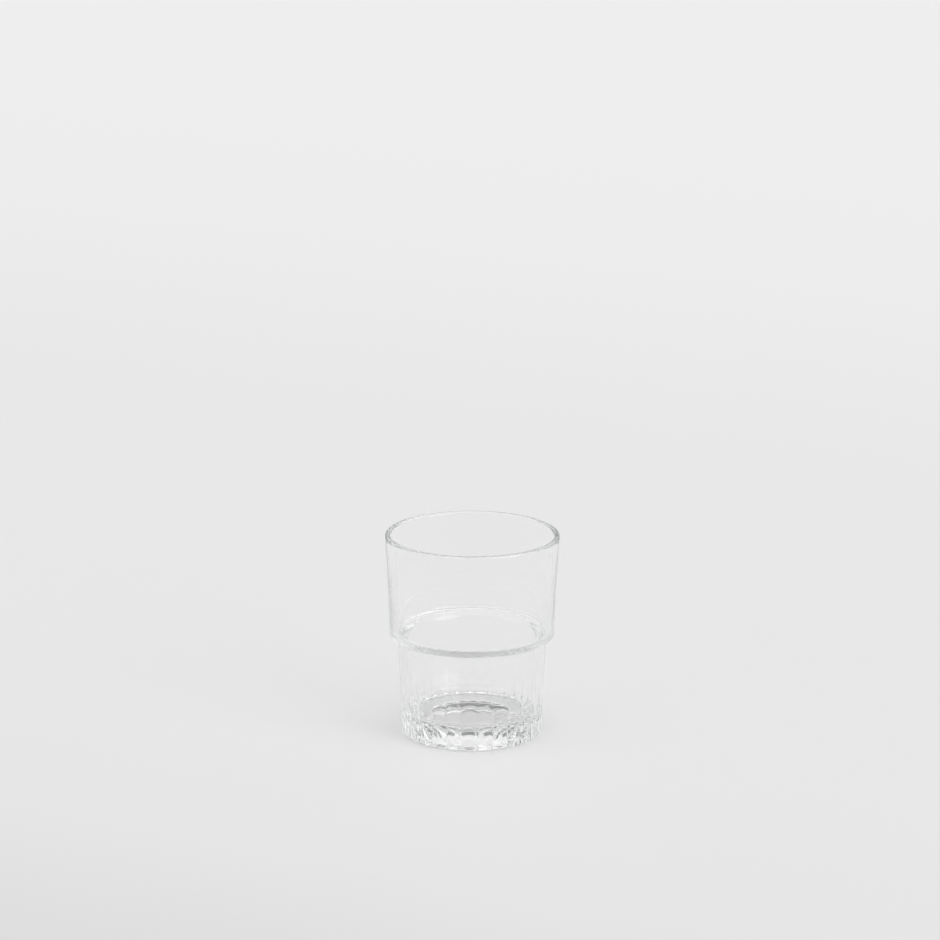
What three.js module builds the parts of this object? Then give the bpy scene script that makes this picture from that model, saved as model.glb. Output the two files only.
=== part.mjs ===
// Water glass: a stacking tumbler, pressed in one piece from clear glass.
// Millimetres, +Z up. The origin is on the table, at the centre of the foot, and -Y is the front.
import * as THREE from 'three';

// Overall sizes
const HEIGHT = 90;
const RIM_DIAMETER = 76;
const LIP_THICKNESS = 2.5;

// Outside of the upper bowl, and the step under it that rests on the rim of the next glass in a stack
const UPPER_BOW = 0.3;
const STEP_HEIGHT = 44;
const STEP_DIAMETER = 72.1;
const STEP_WIDTH = 3.5;
const STEP_ROUND = 2.8;
const STEP_FILLET = 1.5;

// Inside of the bowl: a sloping ledge behind the step, between the wider and the narrower part
const LEDGE_RISE = 2.6;
const LEDGE_DROP = 3;
const LEDGE_FILLET = 1.5;
const LEDGE_ROUND = 5;

// Thickness of the glass over the ledge, under the ledge, beside the floor and in the middle of the floor
const UPPER_WALL = 3.6;
const LOWER_WALL = 4;
const FLOOR_WALL = 4.3;
const FLOOR_THICKNESS = 3;
const FLOOR_FILLET = 3;

// Foot: a ring that stands on the table, round a domed recess under the floor
const FOOT_DIAMETER = 61;
const HEEL_ROUND = 1.6;
const RING_WIDTH = 8;
const RECESS_HEIGHT = 7.2;

// Ribs: round swellings up the outside of the foot, with sharp grooves between them
const RIB_COUNT = 28;
const GROOVE_DEPTH = 1.2;
const GROOVE_HEIGHT = 21;
const GROOVE_TURN = THREE.MathUtils.degToRad(4.9);

// Fineness of the solid
const STEPS_PER_RIB = 4;
const RINGS_PER_GROOVE = 4;
const UPPER_RINGS = 6;
const LIP_STEPS = 6;
const ROUND_STEPS = 3;
const DOME_STEPS = 6;

const rimRadius = RIM_DIAMETER / 2;
const stepRadius = STEP_DIAMETER / 2;
const lowerTopRadius = stepRadius - STEP_WIDTH;
const footRadius = FOOT_DIAMETER / 2;
const recessRadius = footRadius - HEEL_ROUND - GROOVE_DEPTH - RING_WIDTH;
const lipRound = LIP_THICKNESS / 2;
const lipHeight = HEIGHT - lipRound;
const ledgeHeight = STEP_HEIGHT + LEDGE_RISE;
const floorHeight = RECESS_HEIGHT + FLOOR_THICKNESS;

// Outer radius of the lower wall, before the grooves are sunk into it.
function lowerWallRadius(z) {
  return THREE.MathUtils.mapLinear(z, 0, STEP_HEIGHT, footRadius, lowerTopRadius);
}

// Outer radius of the upper wall, which bows in a little between the step and the lip.
function upperWallRadius(z) {
  const share = (z - STEP_HEIGHT) / (lipHeight - STEP_HEIGHT);
  return THREE.MathUtils.lerp(stepRadius, rimRadius, share) - 4 * UPPER_BOW * share * (1 - share);
}

// A corner of the outline. With a round, the corner becomes an arc of that radius.
function corner(radius, z, round = 0) {
  return { at: new THREE.Vector2(radius, z), round };
}

// Points of the arc that rounds a corner. The arc takes at most half of the side before and after it.
function arcAtCorner(before, { at, round }, after) {
  const back = before.clone().sub(at);
  const ahead = after.clone().sub(at);
  const room = Math.min(back.length(), ahead.length()) / 2;
  back.normalize();
  ahead.normalize();
  const halfAngle = Math.acos(THREE.MathUtils.clamp(back.dot(ahead), -1, 1)) / 2;
  const reach = Math.min(round / Math.tan(halfAngle), room);
  const arcRadius = reach * Math.tan(halfAngle);
  const toCentre = back.clone().add(ahead).setLength(arcRadius / Math.sin(halfAngle));
  const centre = at.clone().add(toCentre);
  const start = at.clone().addScaledVector(back, reach).sub(centre).angle();
  const end = at.clone().addScaledVector(ahead, reach).sub(centre).angle();
  const clockwise = back.cross(ahead) > 0;
  const arc = new THREE.EllipseCurve(centre.x, centre.y, arcRadius, arcRadius, start, end, clockwise);
  return arc.getPoints(ROUND_STEPS);
}

// The outline that the corners describe, as points of radius and height.
function roundedOutline(corners) {
  return corners.flatMap((here, index) => {
    if (here.round === 0) return [here.at];
    return arcAtCorner(corners[index - 1].at, here, corners[index + 1].at);
  });
}

// The domed underside, from the top of the dome down to the ring. Its slope grows evenly outwards.
function recessCorners() {
  const corners = [];
  for (let step = 0; step <= DOME_STEPS; step += 1) {
    const share = step / DOME_STEPS;
    corners.push(corner(recessRadius * share, RECESS_HEIGHT * (1 - share ** 2)));
  }
  return corners;
}

// Outside of the glass, from the middle of the recess under the floor to the foot and up to the lip.
function outsideOutline() {
  const grooveRings = [];
  for (let ring = 1; ring <= RINGS_PER_GROOVE; ring += 1) {
    const z = HEEL_ROUND + (GROOVE_HEIGHT - HEEL_ROUND) * ring / RINGS_PER_GROOVE;
    grooveRings.push(corner(lowerWallRadius(z), z));
  }
  const upperRings = [];
  for (let ring = 1; ring < UPPER_RINGS; ring += 1) {
    const z = STEP_HEIGHT + (lipHeight - STEP_HEIGHT) * ring / UPPER_RINGS;
    upperRings.push(corner(upperWallRadius(z), z));
  }
  return roundedOutline([
    ...recessCorners(),
    corner(footRadius, 0, HEEL_ROUND),
    ...grooveRings,
    corner(lowerTopRadius, STEP_HEIGHT, STEP_FILLET),
    corner(stepRadius, STEP_HEIGHT, STEP_ROUND),
    ...upperRings,
  ]);
}

// Half circle over the lip, from the outside to just before the inside begins.
function lipOutline() {
  const lip = new THREE.EllipseCurve(rimRadius - lipRound, lipHeight, lipRound, lipRound, 0, Math.PI);
  return lip.getPoints(LIP_STEPS).slice(0, -1);
}

// Inside of the bowl, from the lip over the ledge to the middle of the floor.
function insideOutline() {
  const ledgeFoot = ledgeHeight - LEDGE_DROP;
  return roundedOutline([
    corner(rimRadius - LIP_THICKNESS, lipHeight),
    corner(upperWallRadius(ledgeHeight) - UPPER_WALL, ledgeHeight, LEDGE_FILLET),
    corner(lowerWallRadius(ledgeFoot) - LOWER_WALL, ledgeFoot, LEDGE_ROUND),
    corner(lowerWallRadius(floorHeight) - FLOOR_WALL, floorHeight, FLOOR_FILLET),
    corner(0, floorHeight),
  ]);
}

// Depth of the surface under the rib's crest. acrossRib is 0 on the crest and 1 in the groove beside it.
// Going up, the grooves grow shallower until they run out.
function grooveDepth(z, acrossRib) {
  const depthInGroove = GROOVE_DEPTH * Math.max(0, 1 - z / GROOVE_HEIGHT);
  return depthInGroove * acrossRib ** 2;
}

// The outline turned round the upright axis, with the grooves sunk into the outside of the foot.
function tumblerGeometry() {
  const outside = outsideOutline();
  const outline = [...outside, ...lipOutline(), ...insideOutline()];
  const geometry = new THREE.LatheGeometry(outline, RIB_COUNT * STEPS_PER_RIB, GROOVE_TURN);
  const position = geometry.getAttribute('position');
  for (let index = 0; index < position.count; index += 1) {
    const ring = index % outline.length;
    const { x: radius, y: z } = outline[ring];
    const onRibs = ring < outside.length && radius > recessRadius;
    if (onRibs) {
      const step = Math.floor(index / outline.length) % STEPS_PER_RIB;
      const acrossRib = Math.abs(2 * step / STEPS_PER_RIB - 1);
      const share = 1 - grooveDepth(z, acrossRib) / radius;
      position.setX(index, position.getX(index) * share);
      position.setZ(index, position.getZ(index) * share);
    }
  }
  geometry.rotateX(Math.PI / 2);
  geometry.computeVertexNormals();
  return geometry;
}

const clearGlass = new THREE.MeshStandardMaterial({
  name: 'clear_glass',
  color: 0xe9efed,
  roughness: 0.03,
  metalness: 0,
  transparent: true,
  opacity: 0.35,
});

const tumbler = new THREE.Mesh(tumblerGeometry(), clearGlass);
tumbler.name = 'tumbler';

const waterGlass = new THREE.Group();
waterGlass.add(tumbler);

export default waterGlass;
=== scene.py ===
import math

import bpy
from mathutils import Matrix, Vector


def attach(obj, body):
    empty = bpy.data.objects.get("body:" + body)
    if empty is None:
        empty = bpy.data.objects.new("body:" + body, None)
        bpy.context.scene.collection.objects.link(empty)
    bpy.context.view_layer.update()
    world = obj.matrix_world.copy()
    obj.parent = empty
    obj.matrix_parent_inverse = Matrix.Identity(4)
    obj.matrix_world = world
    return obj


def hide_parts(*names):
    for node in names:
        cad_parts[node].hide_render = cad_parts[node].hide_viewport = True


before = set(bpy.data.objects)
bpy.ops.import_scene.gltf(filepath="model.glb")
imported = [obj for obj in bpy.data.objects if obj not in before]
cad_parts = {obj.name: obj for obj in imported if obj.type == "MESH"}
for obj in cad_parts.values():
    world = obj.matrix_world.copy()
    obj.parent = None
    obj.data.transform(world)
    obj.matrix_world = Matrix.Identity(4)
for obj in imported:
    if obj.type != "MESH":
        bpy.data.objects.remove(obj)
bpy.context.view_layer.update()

MM = 0.001

# Overall sizes of the glass, in millimetres. The visual rim stays a hair inside the faceted solid's box.
HEIGHT = 90
RIM_DIAMETER = 75.95
LIP_THICKNESS = 2.5

# Outside of the upper bowl and the step under it
UPPER_BOW = 0.3
STEP_HEIGHT = 44
STEP_DIAMETER = 72.1
STEP_WIDTH = 3.5
STEP_ROUND = 2.8
STEP_FILLET = 1.5

# Inside of the bowl, with a sloping ledge behind the step
LEDGE_RISE = 2.6
LEDGE_DROP = 3
LEDGE_FILLET = 1.5
LEDGE_ROUND = 5

# Thickness of the glass over the ledge, under the ledge, beside the floor and in the middle of the floor
UPPER_WALL = 3.6
LOWER_WALL = 4
FLOOR_WALL = 4.3
FLOOR_THICKNESS = 3
FLOOR_FILLET = 3

# Foot: a ring round a domed recess
FOOT_DIAMETER = 61
HEEL_ROUND = 1.6
RING_WIDTH = 8
RECESS_HEIGHT = 7.2

# Ribs with sharp grooves between them
RIB_COUNT = 28
GROOVE_DEPTH = 1.2
GROOVE_HEIGHT = 21
GROOVE_TURN = math.radians(4.9)

# Fineness of the mesh. The first steps of the upper wall are left out, to give the step's round its room.
STEPS_PER_RIB = 12
ROUND_STEPS = 10
UPPER_STEPS = 24
FIRST_UPPER_STEP = 4
LIP_STEPS = 16
DOME_STEPS = 24
LONGEST_SIDE = 1.2

RIM_RADIUS = RIM_DIAMETER / 2
STEP_RADIUS = STEP_DIAMETER / 2
LOWER_TOP_RADIUS = STEP_RADIUS - STEP_WIDTH
FOOT_RADIUS = FOOT_DIAMETER / 2
RECESS_RADIUS = FOOT_RADIUS - HEEL_ROUND - GROOVE_DEPTH - RING_WIDTH
LIP_ROUND = LIP_THICKNESS / 2
LIP_HEIGHT = HEIGHT - LIP_ROUND
LEDGE_HEIGHT = STEP_HEIGHT + LEDGE_RISE
LEDGE_FOOT = LEDGE_HEIGHT - LEDGE_DROP
FLOOR_HEIGHT = RECESS_HEIGHT + FLOOR_THICKNESS

# Glass: its refraction, the faint waves of its surface, the haze on the crests of those waves, and the light
# that it swallows per metre of depth (density times one minus the tint)
GLASS_IOR = 1.52
WAVE_SCALE = 70
WAVE_STRENGTH = 0.012
WAVE_DEPTH = 0.001
HAZE_FROM = (0.45, 0.75)
HAZE_ROUGHNESS = 0.015
TINT = (0.46, 0.50, 0.49, 1)
TINT_DENSITY = 4

# Light has to pass many faces of the glass before it comes out
GLASS_BOUNCES = 128
MIRROR_BOUNCES = 64

# Table under the glass, in metres: a large disc, a hair below the foot so that the two faces stay apart
TABLE_RADIUS = 3.2
TABLE_TOP = -0.0001
TABLE_STEPS = 96

# Paper on the table, with painted light and shade in its grey: the direction in which painted light makes it
# paler, its mottle and how much that shifts the tone, and its grey at some distances that way, in metres from
# the glass (painted shade at the front left, painted light far behind)
PAINTED_LIGHT_DIRECTION = (0.5, 1, 0)
PAPER_MOTTLE_SCALE = 8
PAPER_MOTTLE_DETAIL = 3
PAPER_MOTTLE = 0.05
PAPER_GREYS_WITH_PAINTED_LIGHT = ((-0.34, 0.632), (-0.16, 0.693), (0.02, 0.705), (0.55, 0.705), (1.15, 0.742), (1.5, 0.75))

# Surround of the glass: brightness of its parts, and the heights where they begin and end
FRONT_LOW = 0.3
FRONT_HIGH = 1.45
FRONT_RISE = (math.radians(15), math.radians(50))
BACK = 0.85
SIDES = 1.12
DOORWAY = 0.22
DOORWAY_LOW = math.radians(9)
DOORWAY_HIGH = math.radians(40)
HORIZON = 0.04
HORIZON_TOP = math.radians(9)
EDGE_BLUR = math.radians(2.5)

# Where the parts of the surround meet: front and back along Y, back and sides and the doorway's edge along X
FRONT_TO_BACK = (-0.2, 0.2)
BACK_TO_SIDES = (0.35, 0.75)
DOORWAY_EDGE = (0.28, 0.22)

# Soft light from the front right: its direction, its width as an angle, and its strength
LAMP_AZIMUTH = math.radians(49)
LAMP_HEIGHT = math.radians(22)
LAMP_WIDTH = math.radians(45)
LAMP_STRENGTH = 0.9

# Camera of the photograph
IMAGE_SIDE = 940
FOCAL_PIXELS = 4500
SENSOR = 24
CAMERA_PLACE = (-1.1, -1881.1, 618.2)
CAMERA_PITCH = math.radians(14.88)
CAMERA_ROLL = math.radians(0.2)


def lower_wall_radius(z):
    """Outer radius of the lower wall, before the grooves are sunk into it."""
    return FOOT_RADIUS + (LOWER_TOP_RADIUS - FOOT_RADIUS) * z / STEP_HEIGHT


def upper_wall_radius(z):
    """Outer radius of the upper wall, which bows in a little between the step and the lip."""
    share = (z - STEP_HEIGHT) / (LIP_HEIGHT - STEP_HEIGHT)
    straight = STEP_RADIUS + (RIM_RADIUS - STEP_RADIUS) * share
    return straight - 4 * UPPER_BOW * share * (1 - share)


def arc_at_corner(before, here, after, round_radius):
    """Points of the arc that rounds a corner, at most half of the side before and after it."""
    back = before - here
    ahead = after - here
    room = min(back.length, ahead.length) / 2
    back.normalize()
    ahead.normalize()
    half_angle = back.angle(ahead) / 2
    reach = min(round_radius / math.tan(half_angle), room)
    radius = reach * math.tan(half_angle)
    centre = here + (back + ahead).normalized() * (radius / math.sin(half_angle))
    start = here + back * reach - centre
    end = here + ahead * reach - centre
    turn = start.angle_signed(end)
    points = []
    for step in range(ROUND_STEPS + 1):
        points.append(centre + Matrix.Rotation(-turn * step / ROUND_STEPS, 2) @ start)
    return points


def rounded_outline(corners):
    """The outline that corners of radius, height and rounding describe."""
    places = [Vector((radius, z)) for radius, z, _ in corners]
    outline = []
    for index, (_, _, rounding) in enumerate(corners):
        if rounding:
            outline += arc_at_corner(places[index - 1], places[index], places[index + 1], rounding)
        else:
            outline.append(places[index])
    return outline


def outside_outline():
    """From the middle of the recess under the floor to the foot and up to the lip."""
    corners = []
    for step in range(DOME_STEPS + 1):
        share = step / DOME_STEPS
        corners.append((RECESS_RADIUS * share, RECESS_HEIGHT * (1 - share ** 2), 0))
    corners.append((FOOT_RADIUS, 0, HEEL_ROUND))
    corners.append((lower_wall_radius(GROOVE_HEIGHT), GROOVE_HEIGHT, 0))
    corners.append((LOWER_TOP_RADIUS, STEP_HEIGHT, STEP_FILLET))
    corners.append((STEP_RADIUS, STEP_HEIGHT, STEP_ROUND))
    for step in range(FIRST_UPPER_STEP, UPPER_STEPS):
        z = STEP_HEIGHT + (LIP_HEIGHT - STEP_HEIGHT) * step / UPPER_STEPS
        corners.append((upper_wall_radius(z), z, 0))
    return rounded_outline(corners)


def lip_outline():
    """Half circle over the lip, from the outside to just before the inside begins."""
    points = []
    for step in range(LIP_STEPS):
        angle = math.pi * step / LIP_STEPS
        across = RIM_RADIUS - LIP_ROUND + LIP_ROUND * math.cos(angle)
        points.append(Vector((across, LIP_HEIGHT + LIP_ROUND * math.sin(angle))))
    return points


def inside_outline():
    """From the lip over the ledge to the middle of the floor."""
    return rounded_outline([
        (RIM_RADIUS - LIP_THICKNESS, LIP_HEIGHT, 0),
        (upper_wall_radius(LEDGE_HEIGHT) - UPPER_WALL, LEDGE_HEIGHT, LEDGE_FILLET),
        (lower_wall_radius(LEDGE_FOOT) - LOWER_WALL, LEDGE_FOOT, LEDGE_ROUND),
        (lower_wall_radius(FLOOR_HEIGHT) - FLOOR_WALL, FLOOR_HEIGHT, FLOOR_FILLET),
        (0, FLOOR_HEIGHT, 0),
    ])


def with_short_sides(outline):
    """The same outline with points added until no side is longer than LONGEST_SIDE."""
    points = [outline[0]]
    for start, end in zip(outline[:-1], outline[1:]):
        parts = max(1, math.ceil((end - start).length / LONGEST_SIDE))
        for part in range(1, parts + 1):
            points.append(start.lerp(end, part / parts))
    return points


def groove_depth(z, across_rib):
    """Depth of the surface under a rib's crest. across_rib is 0 on the crest and 1 in the groove."""
    depth_in_groove = GROOVE_DEPTH * max(0, 1 - z / GROOVE_HEIGHT)
    return depth_in_groove * across_rib ** 2


def tumbler_mesh():
    """The outline turned round the upright axis, with the grooves sunk into the outside of the foot."""
    outside = with_short_sides(outside_outline())
    outline = outside + lip_outline() + with_short_sides(inside_outline())
    steps = RIB_COUNT * STEPS_PER_RIB
    vertices = []
    rings = []
    for number, (radius, z) in enumerate(outline):
        first = len(vertices)
        on_axis = number in (0, len(outline) - 1)
        if on_axis:
            vertices.append((0, 0, z * MM))
            rings.append([first] * steps)
            continue
        on_ribs = number < len(outside) and radius > RECESS_RADIUS
        for step in range(steps):
            angle = GROOVE_TURN + 2 * math.pi * step / steps
            across_rib = abs(2 * (step % STEPS_PER_RIB) / STEPS_PER_RIB - 1)
            reach = radius - groove_depth(z, across_rib) if on_ribs else radius
            vertices.append((reach * math.sin(angle) * MM, -reach * math.cos(angle) * MM, z * MM))
        rings.append(list(range(first, first + steps)))
    faces = []
    for low, high in zip(rings[:-1], rings[1:]):
        for step in range(steps):
            after = (step + 1) % steps
            corners = [low[step], low[after], high[after], high[step]]
            faces.append(list(dict.fromkeys(corners)))
    mesh = bpy.data.meshes.new("tumbler_glass")
    mesh.from_pydata(vertices, [], faces)
    mesh.shade_smooth()
    return mesh


def table_mesh():
    """The round table top."""
    vertices = []
    for step in range(TABLE_STEPS):
        angle = 2 * math.pi * step / TABLE_STEPS
        vertices.append((TABLE_RADIUS * math.cos(angle), TABLE_RADIUS * math.sin(angle), TABLE_TOP))
    mesh = bpy.data.meshes.new("table")
    mesh.from_pydata(vertices, [], [list(range(TABLE_STEPS))])
    return mesh


def add_object(name, data):
    """A new object of the scene with this mesh, lamp or camera."""
    piece = bpy.data.objects.new(name, data)
    bpy.context.scene.collection.objects.link(piece)
    return piece


def glass_material():
    """Clear soda-lime glass with the faint waves and haze of a pressed surface."""
    material = bpy.data.materials.new("clear_glass_fine")
    material.use_nodes = True
    nodes = material.node_tree.nodes
    links = material.node_tree.links
    shader = nodes["Principled BSDF"]
    shader.inputs["Base Color"].default_value = (1, 1, 1, 1)
    shader.inputs["IOR"].default_value = GLASS_IOR
    shader.inputs["Transmission Weight"].default_value = 1
    place = nodes.new("ShaderNodeTexCoord")
    waves = nodes.new("ShaderNodeTexNoise")
    waves.inputs["Scale"].default_value = WAVE_SCALE
    waves.inputs["Detail"].default_value = 1
    links.new(place.outputs["Object"], waves.inputs["Vector"])
    bump = nodes.new("ShaderNodeBump")
    bump.inputs["Strength"].default_value = WAVE_STRENGTH
    bump.inputs["Distance"].default_value = WAVE_DEPTH
    links.new(waves.outputs["Fac"], bump.inputs["Height"])
    links.new(bump.outputs["Normal"], shader.inputs["Normal"])
    haze = nodes.new("ShaderNodeMapRange")
    haze.inputs["From Min"].default_value = HAZE_FROM[0]
    haze.inputs["From Max"].default_value = HAZE_FROM[1]
    haze.inputs["To Min"].default_value = 0
    haze.inputs["To Max"].default_value = HAZE_ROUGHNESS
    links.new(waves.outputs["Fac"], haze.inputs["Value"])
    links.new(haze.outputs["Result"], shader.inputs["Roughness"])
    tint = nodes.new("ShaderNodeVolumeAbsorption")
    tint.inputs["Color"].default_value = TINT
    tint.inputs["Density"].default_value = TINT_DENSITY
    links.new(tint.outputs["Volume"], nodes["Material Output"].inputs["Volume"])
    return material


def paper_material():
    """Matte seamless paper, with a faint mottle, a little darker at the front left from painted shade and
    paler far behind from painted light.
    """
    material = bpy.data.materials.new("paper")
    material.use_nodes = True
    nodes = material.node_tree.nodes
    links = material.node_tree.links
    shader = nodes["Principled BSDF"]
    shader.inputs["Roughness"].default_value = 1
    shader.inputs["Specular IOR Level"].default_value = 0
    place = nodes.new("ShaderNodeTexCoord")
    # Distance along the direction of the painted light, which makes the paper paler far behind
    along = nodes.new("ShaderNodeVectorMath")
    along.operation = "DOT_PRODUCT"
    along.inputs[1].default_value = PAINTED_LIGHT_DIRECTION
    links.new(place.outputs["Object"], along.inputs[0])
    mottle = nodes.new("ShaderNodeTexNoise")
    mottle.inputs["Scale"].default_value = PAPER_MOTTLE_SCALE
    mottle.inputs["Detail"].default_value = PAPER_MOTTLE_DETAIL
    links.new(place.outputs["Object"], mottle.inputs["Vector"])
    uneven = nodes.new("ShaderNodeMath")
    uneven.operation = "MULTIPLY_ADD"
    uneven.inputs[1].default_value = PAPER_MOTTLE
    links.new(mottle.outputs["Fac"], uneven.inputs[0])
    links.new(along.outputs["Value"], uneven.inputs[2])
    nearest = PAPER_GREYS_WITH_PAINTED_LIGHT[0][0]
    farthest = PAPER_GREYS_WITH_PAINTED_LIGHT[-1][0]
    share = nodes.new("ShaderNodeMapRange")
    share.inputs["From Min"].default_value = nearest
    share.inputs["From Max"].default_value = farthest
    links.new(uneven.outputs["Value"], share.inputs["Value"])
    # This ramp paints light and shade into the paper's grey: painted shade at the front left, painted light
    # far behind
    ramp = nodes.new("ShaderNodeValToRGB")
    stops = ramp.color_ramp.elements
    while len(stops) < len(PAPER_GREYS_WITH_PAINTED_LIGHT):
        stops.new(1)
    for stop, (reach, tone) in zip(stops, PAPER_GREYS_WITH_PAINTED_LIGHT):
        stop.position = (reach - nearest) / (farthest - nearest)
        stop.color = (tone, tone, tone, 1)
    links.new(share.outputs["Result"], ramp.inputs["Fac"])
    links.new(ramp.outputs["Color"], shader.inputs["Base Color"])
    return material


def add_lamp():
    """A soft, distant light. Its azimuth goes from the front (-Y) towards the right (+X)."""
    lamp = bpy.data.lights.new("soft_box", "SUN")
    lamp.angle = LAMP_WIDTH
    lamp.energy = LAMP_STRENGTH
    holder = add_object("soft_box", lamp)
    towards = Vector((
        math.cos(LAMP_HEIGHT) * math.sin(LAMP_AZIMUTH),
        -math.cos(LAMP_HEIGHT) * math.cos(LAMP_AZIMUTH),
        math.sin(LAMP_HEIGHT),
    ))
    holder.rotation_euler = towards.to_track_quat("Z", "Y").to_euler()


def smooth_step(tree, value, low, high):
    """A node that goes from 0 at low to 1 at high."""
    step = tree.nodes.new("ShaderNodeMapRange")
    step.interpolation_type = "SMOOTHSTEP"
    step.inputs["From Min"].default_value = low
    step.inputs["From Max"].default_value = high
    tree.links.new(value, step.inputs["Value"])
    return step.outputs["Result"]


def product(tree, first, second):
    """A node that multiplies two values."""
    node = tree.nodes.new("ShaderNodeMath")
    node.operation = "MULTIPLY"
    tree.links.new(first, node.inputs[0])
    tree.links.new(second, node.inputs[1])
    return node.outputs["Value"]


def blend(tree, share, first, second):
    """A node that goes from the first brightness at share 0 to the second at share 1."""
    mix = tree.nodes.new("ShaderNodeMix")
    tree.links.new(share, mix.inputs["Factor"])
    for socket, level in (("A", first), ("B", second)):
        if isinstance(level, (int, float)):
            mix.inputs[socket].default_value = level
        else:
            tree.links.new(level, mix.inputs[socket])
    return mix.outputs["Result"]


def over(tree, height, angle):
    """A node that goes from 0 to 1 where the view rises over an angle."""
    return smooth_step(tree, height, math.sin(angle - EDGE_BLUR), math.sin(angle))


def under(tree, height, angle):
    """A node that goes from 1 to 0 where the view rises over an angle."""
    return smooth_step(tree, height, math.sin(angle), math.sin(angle - EDGE_BLUR))


def add_world():
    """Pale sides, a front that grows pale upwards, a pale back with a dark doorway, and a dark horizon."""
    world = bpy.data.worlds.new("surround")
    world.use_nodes = True
    tree = world.node_tree
    direction = tree.nodes.new("ShaderNodeTexCoord")
    parts = tree.nodes.new("ShaderNodeSeparateXYZ")
    tree.links.new(direction.outputs["Generated"], parts.inputs["Vector"])
    across_node = tree.nodes.new("ShaderNodeMath")
    across_node.operation = "ABSOLUTE"
    tree.links.new(parts.outputs["X"], across_node.inputs[0])
    across = across_node.outputs["Value"]
    height = parts.outputs["Z"]
    behind = smooth_step(tree, parts.outputs["Y"], *FRONT_TO_BACK)
    beside = smooth_step(tree, across, *BACK_TO_SIDES)
    in_middle = product(tree, behind, smooth_step(tree, across, *DOORWAY_EDGE))
    front_share = smooth_step(tree, height, math.sin(FRONT_RISE[0]), math.sin(FRONT_RISE[1]))
    level = blend(tree, front_share, FRONT_LOW, FRONT_HIGH)
    level = blend(tree, behind, level, BACK)
    level = blend(tree, beside, level, SIDES)
    over_sill = over(tree, height, DOORWAY_LOW + EDGE_BLUR)
    under_lintel = under(tree, height, DOORWAY_HIGH)
    in_doorway = product(tree, in_middle, product(tree, over_sill, under_lintel))
    level = blend(tree, in_doorway, level, DOORWAY)
    level = blend(tree, over(tree, height, HORIZON_TOP), HORIZON, level)
    tree.links.new(level, tree.nodes["Background"].inputs["Color"])
    bpy.context.scene.world = world


def add_camera():
    """The camera that took the photograph."""
    camera = bpy.data.cameras.new("camera")
    camera.sensor_width = SENSOR
    camera.lens = FOCAL_PIXELS / IMAGE_SIDE * SENSOR
    holder = add_object("camera", camera)
    turn = Matrix.Rotation(math.pi / 2 - CAMERA_PITCH, 4, "X") @ Matrix.Rotation(CAMERA_ROLL, 4, "Z")
    holder.matrix_world = Matrix.Translation(Vector(CAMERA_PLACE) * MM) @ turn
    bpy.context.scene.camera = holder


tumbler = add_object("tumbler_glass", tumbler_mesh())
tumbler.data.materials.append(glass_material())
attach(tumbler, "root")
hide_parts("tumbler")

table = add_object("table", table_mesh())
table.data.materials.append(paper_material())

add_world()
add_lamp()
add_camera()

scene = bpy.context.scene
scene.view_settings.view_transform = "Standard"
scene.cycles.max_bounces = GLASS_BOUNCES
scene.cycles.transmission_bounces = GLASS_BOUNCES
scene.cycles.glossy_bounces = MIRROR_BOUNCES
scene.cycles.blur_glossy = 0
